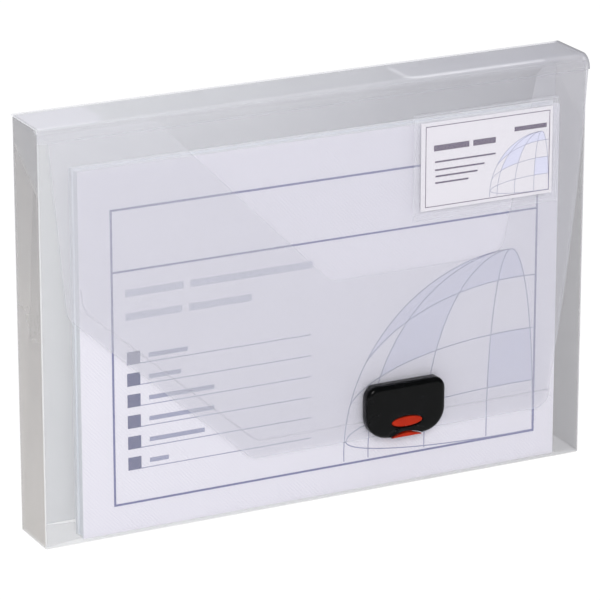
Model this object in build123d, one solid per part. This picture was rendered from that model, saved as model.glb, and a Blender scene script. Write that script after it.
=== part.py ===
"""Box file for A4 papers: a creased polypropylene case, a lid with a long front flap, and a push lock.

The file stands on its long edge. X runs along the width, Y from the front to the back, Z up.
The origin is on the floor under the middle of the case. Sizes are in millimetres.
"""

import os
from math import radians, sin, sqrt

from build123d import *

# The sheet, its folds, and how far a cut runs past the face that it opens
sheet = 0.8
fold_radius = 1.6
fold_wedge_reach = 3.2
end_crest_round = 0.72
past_face = 1.0
same_place = 0.01

# The case
case_width = 337.0
case_depth = 34.0
lid_underside = 238.2
hinge_gap = 0.2
bottom_bevel = 0.5
bottom_tab_length = 30.0
bottom_tab_taper = 6.0
glue_tab_below_lid_at_back = 16.2
glue_tab_below_lid_at_front = 39.2
glue_tab_gap = 0.4

# The access notch in the front panel: left places from the lid's left end, right ones from its right end
notch_left = 69.5
notch_foot_left = 175.5
notch_foot_from_right = 54.0
notch_from_right = 32.0
notch_foot_height = 128.5
notch_foot_round = 12.0
notch_brow_round = 7.0
notch_overrun = 20.0

# The dust flaps under the lid
dust_gap_under_lid = 0.4
dust_hinge_inset = 2.0
dust_hinge_gap = 0.05
left_dust_length = 40.0
right_dust_length = 110.0
dust_inset_at_front = 4.0
dust_round_at_front = 8.0
dust_round_at_back = 4.0
dust_gap_at_back = 0.4

# The lid and its flap: left places from the lid's left end, right ones from its right end
lid_overhang = 0.5
flap_gap = 1.2
crease_radius_left = 2.0
crease_radius_right = 7.5
drop_below_crease = 0.5
front_gap_under_crease = 0.33
flap_top_left = 6.0
flap_top_from_right = 1.0
flap_elbow_x = 15.3
flap_elbow_height = 131.5
flap_foot_left = 125.5
flap_foot_from_right = 23.5
flap_foot_height = 32.5
flap_right_bow = 2.4
flap_elbow_round = 12.0
flap_foot_round = 9.0

# The papers, which lean to the left by a share of their sideways play
paper_width = 297.0
paper_height = 210.0
paper_play_on_left = 0.595
cover_sheet_thickness = 0.3
stack_thickness = 11.5
stack_gap = 1.0
bundle_count = 5
bundle_slip = 0.5

# The card and its pocket, which is open at the left
card_width = 84.0
card_height = 51.0
card_thickness = 0.35
card_play = 0.1
card_gap_in_front = 0.15
pocket_from_right = 20.6
pocket_below_lid = 21.0
pocket_mouth = 4.7
pocket_room_above_card = 2.05
pocket_weld = 3.2
pocket_film = 0.2

# The lock's cover
lock_from_right = 118.3
lock_width = 50.0
lock_height = 31.9
lock_depth = 6.5
lock_wall = 1.2
lock_below_flap = 0.2
lock_top_round = 7.0
lock_bottom_round = 14.0
lock_rim_bevel = 1.6
lock_cutout_width = 24.0
lock_cutout_height = 16.7
joining_overlap = 0.2

# The red button: its oval shows in the window and its lip in the notch below
oval_width = 19.0
oval_height = 5.4
oval_gap_at_ends = 0.5
oval_gap_above = 0.7
oval_height_above_foot = 9.0
oval_recess = 0.4
lip_notch_width = 22.0
lip_notch_rise = 2.8
lip_gap = 0.75
lever_thickness = 1.2
lever_width = 19.6
lever_height = 11.3
lever_neck = 8.0
lever_gap = 0.6
lever_above_lip = 0.1
lever_neck_overlap = 0.3
nose_width = 12.0
nose_reach = 3.9
nose_thickness = 1.1
nose_height = 1.4
nose_bridge = 1.0
button_travel = 12.0

# The pin that the button rocks on, and its wound spring
pin_behind_lever = 0.1
pin_height_above_foot = 4.7
pin_diameter = 1.2
pin_clearance = 0.05
hub_radius = 1.3
hub_inset = 1.2
ear_thickness = 2.0
ear_gap = 0.4
spring_wire = 0.4
spring_turns = 3
spring_pitch = 0.85
spring_play = 0.2

# The plate behind the flap and its rivets
backplate_thickness = 0.8
backplate_margin = 4.5
backplate_round = 3.0
backplate_gap = 0.5
rivet_spread = 36.0
rivet_rows = (8.5, 27.0)
rivet_diameter = 3.0
rivet_clearance = 0.05
rivet_end_gap = 0.1
rivet_head_diameter = 4.4
rivet_head_height = 0.4
rivet_boss_diameter = 6.0
rivet_grip = 3.0

# The keeper on the front panel
keeper_width = 16.0
keeper_height = 12.0
keeper_round = 2.0
keeper_base = 1.0
keeper_above_foot = 4.5
keeper_shelf_width = 12.0
keeper_shelf_thickness = 1.4
keeper_shelf_height = 9.0
keeper_lip_thickness = 0.7
keeper_lip_gap = 0.3
keeper_bite_gap = 0.8
keeper_plate_height = 6.0
keeper_plate_thickness = 0.5
keeper_rivet_drop = 2.2
keeper_rivet_spread = 10.0
keeper_rivet_diameter = 2.0
keeper_rivet_head_overhang = 0.5
keeper_rivet_head_height = 0.4

# Places worked out from the sizes
front_face = -case_depth / 2
back_face = case_depth / 2
lid_right = case_width / 2 + lid_overhang
lid_left = -lid_right
lid_top = lid_underside + sheet
wall_top = lid_underside - hinge_gap
dust_top = lid_underside - dust_gap_under_lid
flap_inner = front_face - flap_gap
flap_outer = flap_inner - sheet
flap_hinge_height = lid_top - crease_radius_right - drop_below_crease
lock_x = lid_right - lock_from_right
lock_foot = flap_foot_height - lock_below_flap
lock_front = flap_outer - lock_depth
cover_inside = lock_front + lock_wall
oval_z = lock_foot + oval_height_above_foot
lever_front = cover_inside + lever_gap
pin_y = lever_front + lever_thickness + pin_behind_lever
pin_z = lock_foot + pin_height_above_foot
pin_length = lever_width + 2 * (ear_gap + ear_thickness)
coil_radius = (pin_diameter + spring_wire) / 2 + spring_play
coil_room = (spring_turns * spring_pitch) / 2 + spring_wire + spring_play
nose_back = pin_y + nose_reach
nose_foot = pin_z - nose_thickness / 2
cutout_top = lock_foot + lock_cutout_height
keeper_rivet_z = lock_foot + keeper_above_foot + keeper_height - keeper_rivet_drop
paper_foot = 2 * sheet
paper_front = front_face + sheet + stack_gap
paper_left = -case_width / 2 + 2 * sheet + (case_width - 4 * sheet - paper_width) * paper_play_on_left


def front_edge_top():
    """The height of the front panel, a little under the inside of the lid's crease where that is softest."""
    inside = crease_radius_right - sheet
    behind = crease_radius_right - (front_face - flap_outer)
    return lid_top - crease_radius_right + sqrt(inside**2 - behind**2) - front_gap_under_crease


front_top = front_edge_top()


def upright(outline, y_front, thickness):
    """A plate standing in the XZ plane: its front face at y_front, its thickness towards the back."""
    return extrude(Plane.XZ.offset(-y_front - thickness) * outline, thickness)


def rounded(points, radii):
    """A closed outline through points, each corner rounded by its own radius."""
    return make_face(FilletPolyline(*points, radius=radii, close=True))


def upright_plate(x, z, y_front, thickness, radius):
    """An upright plate between two places along X and Z, with its four corners rounded."""
    points = [(x[0], z[0]), (x[1], z[0]), (x[1], z[1]), (x[0], z[1])]
    return upright(rounded(points, [radius] * 4), y_front, thickness)


def slab(x, y, z):
    """A block given by its low and high places on each axis."""
    block = Box(x[1] - x[0], y[1] - y[0], z[1] - z[0], align=(Align.MIN, Align.MIN, Align.MIN))
    return Pos(x[0], y[0], z[0]) * block


def about(middle, half):
    """The two places that lie as far to either side of a middle."""
    return middle - half, middle + half


def rod(x, y, z, radius):
    """A round bar along X between two places."""
    bar = Cylinder(radius, x[1] - x[0], align=(Align.CENTER, Align.CENTER, Align.MIN))
    return Pos(x[0], y, z) * Rot(0, 90, 0) * bar


def stud(x, z, y, radius):
    """A round bar along Y between two places."""
    bar = Cylinder(radius, y[1] - y[0], align=(Align.CENTER, Align.CENTER, Align.MIN))
    return Pos(x, y[0], z) * Rot(-90, 0, 0) * bar


def case_ring(height):
    """The four walls as one rounded tube, before it is split at the creases."""
    outer = RectangleRounded(case_width, case_depth, fold_radius)
    inner = RectangleRounded(case_width - 2 * sheet, case_depth - 2 * sheet, fold_radius - sheet)
    return Pos(0, 0, sheet) * extrude(outer - inner, height - sheet)


def crease_wedge(side):
    """The part of the ring that belongs to one wall: its corners are split on the 45 degree line."""
    half_width, half_depth = case_width / 2, case_depth / 2
    sign = -1 if side in ("front", "left") else 1
    points = []
    for end, grow in [(-1, past_face), (1, past_face), (1, -fold_wedge_reach), (-1, -fold_wedge_reach)]:
        if side in ("front", "back"):
            points.append((end * (half_width + grow), sign * (half_depth + grow)))
        else:
            points.append((sign * (half_width + grow), end * (half_depth + grow)))
    return extrude(make_face(Polyline(*points, close=True)), lid_top)


def wall(side, height):
    return case_ring(height) & crease_wedge(side)


def notch_outline():
    """The access notch: a long slope for the thumb at the left, a level foot, and a steep right side."""
    foot_right = lid_right - notch_foot_from_right
    head_right = lid_right - notch_from_right
    left_slope = (notch_foot_left - notch_left) / (front_top - notch_foot_height)
    right_slope = (head_right - foot_right) / (front_top - notch_foot_height)
    points = [
        (lid_left + notch_left - notch_overrun * left_slope, front_top + notch_overrun),
        (lid_left + notch_foot_left, notch_foot_height),
        (foot_right, notch_foot_height),
        (head_right + notch_overrun * right_slope, front_top + notch_overrun),
    ]
    return rounded(points, [0, notch_foot_round, notch_foot_round, 0])


def make_front_panel():
    panel = wall("front", front_top) - upright(notch_outline(), front_face - past_face, sheet + 2 * past_face)
    inside_folds = case_width / 2 - fold_radius - past_face
    brows = [
        edge
        for edge in panel.edges().filter_by(Axis.Y)
        if abs(edge.center().Z - front_top) < same_place and abs(edge.center().X) < inside_folds
    ]
    panel = fillet(brows, notch_brow_round)
    for x in keeper_rivet_places():
        panel -= keeper_rivet_hole(x)
    return panel


def make_end_panel(side):
    """An end wall with the fold at its head, where the dust flap is creased on."""
    sign = -1 if side == "left" else 1
    head = dust_top - sheet
    x_far = sign * case_width / 2
    x_near = sign * (case_width / 2 - dust_hinge_inset)
    front, back = dust_span()
    lip = slab(sorted((x_far, x_near)), (front, back), (head, dust_top))
    shoulder = slab((-case_width, case_width), (front_face - past_face, front), (front_top, lid_top))
    panel = wall(side, head) - shoulder + lip
    crest = [
        edge
        for edge in panel.edges().filter_by(Axis.Y)
        if abs(edge.center().X - x_far) < same_place and edge.center().Z > dust_top - same_place
    ]
    return fillet(crest, end_crest_round)


def make_bottom_panel():
    plate = extrude(RectangleRounded(case_width, case_depth, fold_radius), sheet)
    return chamfer(plate.faces().sort_by(Axis.Z)[0].edges(), bottom_bevel)


def make_glue_tab(side):
    """A tab from the back panel, glued inside an end panel, with its head cut down towards the front."""
    outer = case_width / 2 - sheet
    front = front_face + fold_radius + glue_tab_gap
    back = back_face - fold_radius
    foot = 2 * sheet
    head_at_back = lid_underside - glue_tab_below_lid_at_back
    head_at_front = lid_underside - glue_tab_below_lid_at_front
    points = [(front, foot), (back, foot), (back, head_at_back), (front, head_at_front)]
    place = Plane.YZ.offset(-outer if side == "left" else outer - sheet)
    return extrude(place * make_face(Polyline(*points, close=True)), sheet)


def make_bottom_tab(side):
    """A tab from an end panel, glued down on the bottom panel: the papers' ends rest on it."""
    sign = -1 if side == "left" else 1
    far = case_width / 2 - sheet
    near = far - bottom_tab_length
    root = case_depth / 2 - 2 * sheet
    tip = case_depth / 2 - sheet - bottom_tab_taper
    points = [(sign * far, -root), (sign * far, root), (sign * near, tip), (sign * near, -tip)]
    return Pos(0, 0, sheet) * extrude(make_face(Polyline(*points, close=True)), sheet)


def dust_span():
    """Where a dust flap starts and ends between the front and the back panel."""
    return front_face + sheet + dust_inset_at_front, back_face - sheet - dust_gap_at_back


def make_dust_flap(side, length):
    sign = -1 if side == "left" else 1
    root = case_width / 2 - dust_hinge_inset - dust_hinge_gap
    tip = root - length
    front, back = dust_span()
    points = [(sign * root, front), (sign * root, back), (sign * tip, back), (sign * tip, front)]
    outline = rounded(points, [0, 0, dust_round_at_back, dust_round_at_front])
    return Pos(0, 0, dust_top - sheet) * extrude(outline, sheet)


def between_ends(outline_at):
    """A ruled body from the lid's left end to its right end: outline_at gives each end's YZ corners."""
    left = Plane.YZ.offset(lid_left) * make_face(Polyline(*outline_at(crease_radius_left), close=True))
    right = Plane.YZ.offset(lid_right) * make_face(Polyline(*outline_at(crease_radius_right), close=True))
    return loft([left, right], ruled=True)


def crease_cone(inward):
    """A slim cone that touches the lid's top and front: it is the outside of the crease, or lies inward."""
    low = Vector(lid_left, flap_outer + crease_radius_left, lid_top - crease_radius_left)
    high = Vector(lid_right, flap_outer + crease_radius_right, lid_top - crease_radius_right)
    run = (high - low).length
    along = (high - low).normalized()
    lean = sqrt(1 - along.Z**2)
    widening = (crease_radius_right - crease_radius_left) / run
    start_radius = (crease_radius_left - widening * past_face) / lean - inward
    end_radius = (crease_radius_right + widening * past_face) / lean - inward
    start = Plane(low - along * past_face, z_dir=along) * Circle(start_radius)
    end = Plane(high + along * past_face, z_dir=along) * Circle(end_radius)
    return loft([start, end], ruled=True)


def make_lid_top():
    """The lid's top panel, with a crease that is crisp at the left and soft at the right."""

    def crease_corner(radius):
        front, top = flap_outer, lid_top
        return [(front, top - radius), (front, top), (front + radius, top), (front + radius, top - radius)]

    def flat(radius):
        front = flap_outer + radius
        return [(front, lid_top), (back_face, lid_top), (back_face, lid_underside), (front, lid_underside)]

    def drop(radius):
        head, foot = lid_top - radius, flap_hinge_height
        return [(flap_outer, head), (flap_outer, foot), (flap_inner, foot), (flap_inner, head)]

    crease = (crease_cone(0) - crease_cone(sheet)) & between_ends(crease_corner)
    return between_ends(flat) + between_ends(drop) + crease


def flap_outline():
    """The flap seen from the front: a tapering sheet with its lower left corner cut away."""
    head = flap_hinge_height - hinge_gap
    corners = [
        (lid_left + flap_top_left, head),
        (lid_left + flap_elbow_x, flap_elbow_height),
        (lid_left + flap_foot_left, flap_foot_height),
        (lid_right - flap_foot_from_right, flap_foot_height),
        (lid_right - flap_top_from_right, head),
    ]
    plain = rounded(corners, [0, flap_elbow_round, flap_foot_round, flap_foot_round, 0])
    low, high = Vector(*corners[3]), Vector(*corners[4])
    along = (high - low).normalized()
    middle = (low + high) * 0.5 + Vector(along.Y, -along.X) * flap_right_bow
    start = low + along * (2 * flap_foot_round)
    bow = make_face([Line(start, high), ThreePointArc(start, middle, high)])
    return plain + bow


def rivet_places():
    return [(lock_x + side * rivet_spread / 2, lock_foot + row) for side in (-1, 1) for row in rivet_rows]


def rivet_hole(x, z, y):
    return stud(x, z, y, rivet_diameter / 2 + rivet_clearance)


def make_lid_flap():
    """The flap, open at its foot behind the lock so that the keeper can reach the latch."""
    flap = upright(flap_outline(), flap_outer, sheet)
    through = (flap_outer - past_face, flap_inner + past_face)
    flap -= slab(about(lock_x, lock_cutout_width / 2), through, (0, cutout_top))
    for x, z in rivet_places():
        flap -= rivet_hole(x, z, through)
    return flap


def lock_outline(inset):
    half = lock_width / 2 - inset
    foot, head = lock_foot + inset, lock_foot + lock_height - inset
    points = [(lock_x - half, foot), (lock_x + half, foot), (lock_x + half, head), (lock_x - half, head)]
    low, high = lock_bottom_round - inset, lock_top_round - inset
    return rounded(points, [low, low, high, high])


def lip_lens(gap):
    """The round field that cuts the lip notch, or that the lip itself fills with a gap."""
    half = lip_notch_width / 2
    radius = (half**2 + lip_notch_rise**2) / (2 * lip_notch_rise)
    return Pos(lock_x, lock_foot + lip_notch_rise - radius) * Circle(radius - gap)


def pin_hole():
    return rod(about(lock_x, pin_length), pin_y, pin_z, pin_diameter / 2 + pin_clearance)


def make_lock_cover():
    """The moulded cover: a shell with an oval window, a notch at its foot, two ears and four bosses."""
    body = upright(lock_outline(0), lock_front, lock_depth)
    body = chamfer(body.faces().sort_by(Axis.Y)[0].edges(), lock_rim_bevel)
    body -= upright(lock_outline(lock_wall), cover_inside, lock_depth)
    window = Ellipse(oval_width / 2 + oval_gap_at_ends, oval_height / 2 + oval_gap_above)
    body -= upright(Pos(lock_x, oval_z) * window, lock_front - past_face, lock_wall + 2 * past_face)
    body -= upright(lip_lens(0), lock_front - past_face, lock_wall + past_face)
    notch_z = (lock_foot - past_face, lock_foot + lip_notch_rise)
    body -= slab(about(lock_x, lip_notch_width / 2), (cover_inside, flap_outer + past_face), notch_z)
    for x, z in rivet_places():
        body += stud(x, z, (cover_inside - joining_overlap, flap_outer), rivet_boss_diameter / 2)
        body -= rivet_hole(x, z, (flap_outer - rivet_grip, flap_outer + past_face))
    for side in (-1, 1):
        near = lock_x + side * (lever_width / 2 + ear_gap)
        far = near + side * ear_thickness
        ear_y = (cover_inside - joining_overlap, pin_y + hub_radius)
        body += slab(sorted((near, far)), ear_y, about(pin_z, hub_radius)) - pin_hole()
    return body


def make_lock_button():
    """The red rocker: an oval thumb pad, a lip at the foot, a split hub and a nose that meets the keeper."""
    lip_top = lock_foot + lip_notch_rise - lip_gap
    foot_at = (Align.CENTER, Align.MIN)
    plate = Pos(lock_x, lip_top + lever_above_lip) * Rectangle(lever_width, lever_height, align=foot_at)
    neck = Pos(lock_x, lip_top - lever_neck_overlap) * Rectangle(lever_neck, lever_height / 2, align=foot_at)
    lip_field = Pos(lock_x, lock_foot) * Rectangle(lip_notch_width, lip_notch_rise, align=foot_at)
    pad_front = lock_front + oval_recess
    button = upright(plate + neck, lever_front, lever_thickness)
    button += upright(lip_lens(lip_gap) & lip_field, pad_front, lever_front + lever_thickness - pad_front)
    oval = Pos(lock_x, oval_z) * Ellipse(oval_width / 2, oval_height / 2)
    button += upright(oval, pad_front, lever_front - pad_front + joining_overlap)
    hub_end = lever_width / 2 - hub_inset
    for side in (-1, 1):
        near = lock_x + side * coil_room
        button += rod(sorted((near, lock_x + side * hub_end)), pin_y, pin_z, hub_radius)
        prong = sorted((near, lock_x + side * nose_width / 2))
        button += slab(prong, (pin_y, nose_back), (nose_foot, nose_foot + nose_thickness))
    bridge = about(lock_x, nose_width / 2)
    button += slab(bridge, (nose_back - nose_bridge, nose_back), (nose_foot, nose_foot + nose_height))
    coil_reach = coil_radius + spring_wire / 2 + spring_play
    coil_space = (lever_front - past_face, pin_y + coil_reach)
    button -= slab(about(lock_x, coil_room), coil_space, about(pin_z, coil_reach))
    return button - pin_hole()


def make_pivot_pin():
    return rod(about(lock_x, pin_length / 2), pin_y, pin_z, pin_diameter / 2)


def least_turn_gap(path):
    """The least gap between points of the coil that lie half a turn or more apart."""
    half_turn = 12
    steps = spring_turns * 2 * half_turn
    points = [path @ (i / steps) for i in range(steps + 1)]
    pairs = [(a, b) for i, a in enumerate(points) for b in points[i + half_turn :]]
    return min((a - b).length for a, b in pairs) - spring_wire


def make_button_spring():
    """A wound spring on the pivot pin, between the two halves of the hub, its wire drawn six-sided."""
    length = spring_turns * spring_pitch
    path = Helix(spring_pitch, length, coil_radius)
    wire = Plane(path @ 0, z_dir=path % 0) * RegularPolygon(spring_wire / 2, 6)
    print("button spring: least gap between turns", round(least_turn_gap(path), 2), "mm")
    return Pos(lock_x - length / 2, pin_y, pin_z) * Rot(0, 90, 0) * sweep(wire, path, is_frenet=True)


def make_lock_backplate():
    """The plate behind the flap: an arch that leaves the keeper's way free."""
    x = about(lock_x, rivet_spread / 2 + backplate_margin)
    z = (lock_foot + rivet_rows[0] - backplate_margin, lock_foot + rivet_rows[1] + backplate_margin)
    plate = upright_plate(x, z, flap_inner, backplate_thickness, backplate_round)
    through = (flap_inner - past_face, flap_inner + backplate_thickness + past_face)
    plate -= slab(about(lock_x, lock_cutout_width / 2 + backplate_gap), through, (0, cutout_top))
    head_seat = flap_inner + backplate_thickness - rivet_head_height
    for x, z in rivet_places():
        plate -= rivet_hole(x, z, through)
        plate -= stud(x, z, (head_seat, through[1]), rivet_head_diameter / 2 + rivet_clearance)
    return plate


def make_lock_rivets():
    """Four rivets set from behind: heads sunk in the backplate, shanks in the cover's bosses."""
    back = flap_inner + backplate_thickness
    head_front = back - rivet_head_height
    tip = flap_outer - rivet_grip + rivet_end_gap
    rivets = []
    for x, z in rivet_places():
        head = stud(x, z, (head_front, back), rivet_head_diameter / 2)
        rivets.append(head + stud(x, z, (tip, head_front), rivet_diameter / 2))
    return Compound(rivets)


def keeper_rivet_places():
    return about(lock_x, keeper_rivet_spread / 2)


def keeper_rivet_hole(x):
    reach = keeper_base + sheet + keeper_plate_thickness + past_face
    return stud(x, keeper_rivet_z, about(front_face, reach), keeper_rivet_diameter / 2 + rivet_clearance)


def make_keeper():
    """The hook on the front panel: a base, a shelf and a lip turned down in front of the latch's nose."""
    base_front = front_face - keeper_base
    foot = lock_foot + keeper_above_foot
    base_z = (foot, foot + keeper_height)
    base = upright_plate(about(lock_x, keeper_width / 2), base_z, base_front, keeper_base, keeper_round)
    lip_back = nose_back - nose_bridge - keeper_lip_gap
    lip_front = lip_back - keeper_lip_thickness
    shelf_z = (lock_foot + keeper_shelf_height, lock_foot + keeper_shelf_height + keeper_shelf_thickness)
    lip_foot = nose_foot + nose_height + keeper_bite_gap
    span = about(lock_x, keeper_shelf_width / 2)
    hook = base + slab(span, (lip_front, base_front + joining_overlap), shelf_z)
    hook += slab(span, (lip_front, lip_back), (lip_foot, shelf_z[1]))
    for x in keeper_rivet_places():
        hook -= keeper_rivet_hole(x)
    return hook


def make_keeper_backplate():
    x = about(lock_x, keeper_width / 2)
    z = about(keeper_rivet_z, keeper_plate_height / 2)
    plate = upright_plate(x, z, front_face + sheet, keeper_plate_thickness, keeper_round)
    for x in keeper_rivet_places():
        plate -= keeper_rivet_hole(x)
    return plate


def make_keeper_rivets():
    """Two rivets through the keeper, the front panel and the plate inside: flush in front, headed behind."""
    front = front_face - keeper_base
    back = front_face + sheet + keeper_plate_thickness
    head_radius = keeper_rivet_diameter / 2 + keeper_rivet_head_overhang
    rivets = []
    for x in keeper_rivet_places():
        shank = stud(x, keeper_rivet_z, (front, back), keeper_rivet_diameter / 2)
        rivets.append(shank + stud(x, keeper_rivet_z, (back, back + keeper_rivet_head_height), head_radius))
    return Compound(rivets)


def pocket_field():
    """The pocket's span along X and Z, from the card's size and the welds round it."""
    right = lid_right - pocket_from_right
    top = lid_top - pocket_below_lid
    width = pocket_mouth + card_width + card_play + pocket_weld
    height = card_height + 2 * (pocket_weld + pocket_room_above_card)
    return (right - width, right), (top - height, top)


def make_card_pocket():
    """Clear film welded to the flap on three sides and open at its left side."""
    x, z = pocket_field()
    room = card_play + card_thickness + card_gap_in_front
    pocket = slab(x, (flap_outer - room - pocket_film, flap_outer), z)
    room_x = (x[0] - past_face, x[1] - pocket_weld)
    room_z = (z[0] + pocket_weld, z[1] - pocket_weld)
    return pocket - slab(room_x, (flap_outer - room, flap_outer + past_face), room_z)


def make_name_card():
    x, z = pocket_field()
    right = x[1] - pocket_weld - card_play
    back = flap_outer - card_play
    span = about((z[0] + z[1]) / 2, card_height / 2)
    return slab((right - card_width, right), (back - card_thickness, back), span)


def make_cover_sheet():
    span = (paper_left, paper_left + paper_width)
    depth = (paper_front, paper_front + cover_sheet_thickness)
    return slab(span, depth, (paper_foot, paper_foot + paper_height))


def make_document_stack():
    """The papers behind the cover sheet: a few bundles that have slipped a little past each other."""
    thickness = stack_thickness / bundle_count
    front = paper_front + cover_sheet_thickness
    bundles = []
    for i in range(bundle_count):
        slip = bundle_slip * (i % 3)
        left = paper_left + slip
        top = paper_foot + paper_height - slip
        depth = (front + i * thickness, front + (i + 1) * thickness)
        bundles.append(slab((left, left + paper_width), depth, (paper_foot, top)))
    return bundles[0].fuse(*bundles[1:])


pieces = {
    "back_panel": wall("back", wall_top),
    "bottom_panel": make_bottom_panel(),
    "front_panel": make_front_panel(),
    "left_end_panel": make_end_panel("left"),
    "right_end_panel": make_end_panel("right"),
    "left_glue_tab": make_glue_tab("left"),
    "right_glue_tab": make_glue_tab("right"),
    "left_bottom_tab": make_bottom_tab("left"),
    "right_bottom_tab": make_bottom_tab("right"),
    "left_dust_flap": make_dust_flap("left", left_dust_length),
    "right_dust_flap": make_dust_flap("right", right_dust_length),
    "lid_top_panel": make_lid_top(),
    "lid_flap": make_lid_flap(),
    "lock_cover": make_lock_cover(),
    "lock_button": make_lock_button(),
    "lock_pivot_pin": make_pivot_pin(),
    "button_spring": make_button_spring(),
    "lock_backplate": make_lock_backplate(),
    "lock_rivets": make_lock_rivets(),
    "lock_keeper": make_keeper(),
    "keeper_backplate": make_keeper_backplate(),
    "keeper_rivets": make_keeper_rivets(),
    "card_pocket": make_card_pocket(),
    "name_card": make_name_card(),
    "cover_sheet": make_cover_sheet(),
    "document_stack": make_document_stack(),
}

os.makedirs("parts", exist_ok=True)
for name, shape in pieces.items():
    export_step(shape, f"parts/{name}.step")

pad_travel = sin(radians(button_travel)) * (oval_height_above_foot - pin_height_above_foot)
print("lid hinge at y", back_face, "z", lid_top, "and flap hinge at y", flap_outer, "z", flap_hinge_height)
print("button pin at x", lock_x, "y", round(pin_y, 3), "z", round(pin_z, 3))
print("oval pad travels", round(pad_travel, 2), "mm")
print("dust hinges at x", case_width / 2 - dust_hinge_inset, "z", round(dust_top - sheet, 3))
print("front panel's top at z", round(front_top, 3), "and papers' left edge at x", round(paper_left, 3))
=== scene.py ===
"""The looks of a frosted box file for A4 papers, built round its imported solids.

Sections follow the object as it is put together, from the creased case to the lock, and then the studio.
Sizes in the sections are in millimetres: X is counted from the lid's left end, Y from the front to the
back with the middle of the case at 0, and Z from the floor.
"""

import math

import bmesh
import bpy
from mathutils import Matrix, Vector


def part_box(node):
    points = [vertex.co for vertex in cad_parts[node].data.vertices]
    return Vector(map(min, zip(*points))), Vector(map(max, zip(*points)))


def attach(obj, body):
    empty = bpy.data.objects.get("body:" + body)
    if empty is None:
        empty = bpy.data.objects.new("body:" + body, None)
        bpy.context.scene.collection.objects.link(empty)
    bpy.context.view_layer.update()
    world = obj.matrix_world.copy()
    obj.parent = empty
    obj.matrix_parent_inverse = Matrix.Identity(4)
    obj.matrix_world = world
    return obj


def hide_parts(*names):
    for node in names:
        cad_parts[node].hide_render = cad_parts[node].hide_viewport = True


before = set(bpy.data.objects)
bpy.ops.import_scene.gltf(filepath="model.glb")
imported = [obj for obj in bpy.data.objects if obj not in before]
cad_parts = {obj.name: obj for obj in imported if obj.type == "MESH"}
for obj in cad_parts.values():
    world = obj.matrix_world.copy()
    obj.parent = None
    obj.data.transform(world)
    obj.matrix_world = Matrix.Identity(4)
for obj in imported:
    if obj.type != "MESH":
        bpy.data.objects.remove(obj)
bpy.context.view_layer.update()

# ## The case
# One die-cut sheet of polypropylene, 0.8 mm thick, creased, folded up round the papers and glued by its
# tabs. The sheet is extruded with a matt finish on both faces, and its creases are rolled in cold, which
# turns them white. Its cut edges are painted whiter and denser: a painted highlight for the light the
# sheet guides to them.


def linear(colour):
    """An sRGB hex colour as linear light, fully opaque."""
    parts = [int(colour[i : i + 2], 16) / 255 for i in (1, 3, 5)]
    return [p / 12.92 if p <= 0.04045 else ((p + 0.055) / 1.055) ** 2.4 for p in parts] + [1.0]


def add_node(tree, kind, inputs=None, **settings):
    """A shader node with its settings: each input takes a value, or another node's output to link.

    Inputs that share a name go by number: those of Math from 0, and for Mix 0 is the share, 2 and 3 are
    numbers, and 6 and 7 are colours.
    """
    node = tree.nodes.new("ShaderNode" + kind)
    for name, value in settings.items():
        setattr(node, name, value)
    for socket, value in (inputs or {}).items():
        if isinstance(value, bpy.types.NodeSocket):
            tree.links.new(value, node.inputs[socket])
        else:
            node.inputs[socket].default_value = value
    return node


def empty_material(name):
    """A material with nothing in it yet, and its tree."""
    material = bpy.data.materials.new(name)
    material.use_nodes = True
    material.node_tree.nodes.clear()
    return material, material.node_tree


def matt_face(tree, place, streak, colour, haze):
    """The shader of the extruded sheet: haze is the share of what lies behind that it covers."""
    # Light that the sheet scatters forward still reaches what lies inside, so it throws a thin shadow
    path = add_node(tree, "LightPath")
    shade = add_node(
        tree, "Math", {0: path.outputs["Is Shadow Ray"], 1: -0.6, 2: 1.0}, operation="MULTIPLY_ADD"
    )
    alpha = add_node(tree, "Math", {0: haze, 1: shade.outputs[0]}, operation="MULTIPLY", use_clamp=True)
    # The matt grain is about 0.1 mm, too fine to show: it is drawn at 0.7 mm and very shallow
    grain = add_node(tree, "TexNoise", {"Vector": place.outputs["Object"], "Scale": 1400.0, "Detail": 1.0})
    bump = add_node(tree, "Bump", {"Height": grain.outputs["Fac"], "Strength": 0.05, "Distance": 0.00003})
    gloss = add_node(tree, "MapRange", {"Value": streak.outputs["Fac"], "To Min": 0.34, "To Max": 0.44})
    surface = add_node(
        tree, "BsdfPrincipled",
        {
            "Base Color": colour,
            "Roughness": gloss.outputs[0],
            "IOR": 1.49,
            "Alpha": alpha.outputs[0],
            "Normal": bump.outputs[0],
        },
    )
    add_node(tree, "OutputMaterial", {"Surface": surface.outputs[0]})


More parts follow.
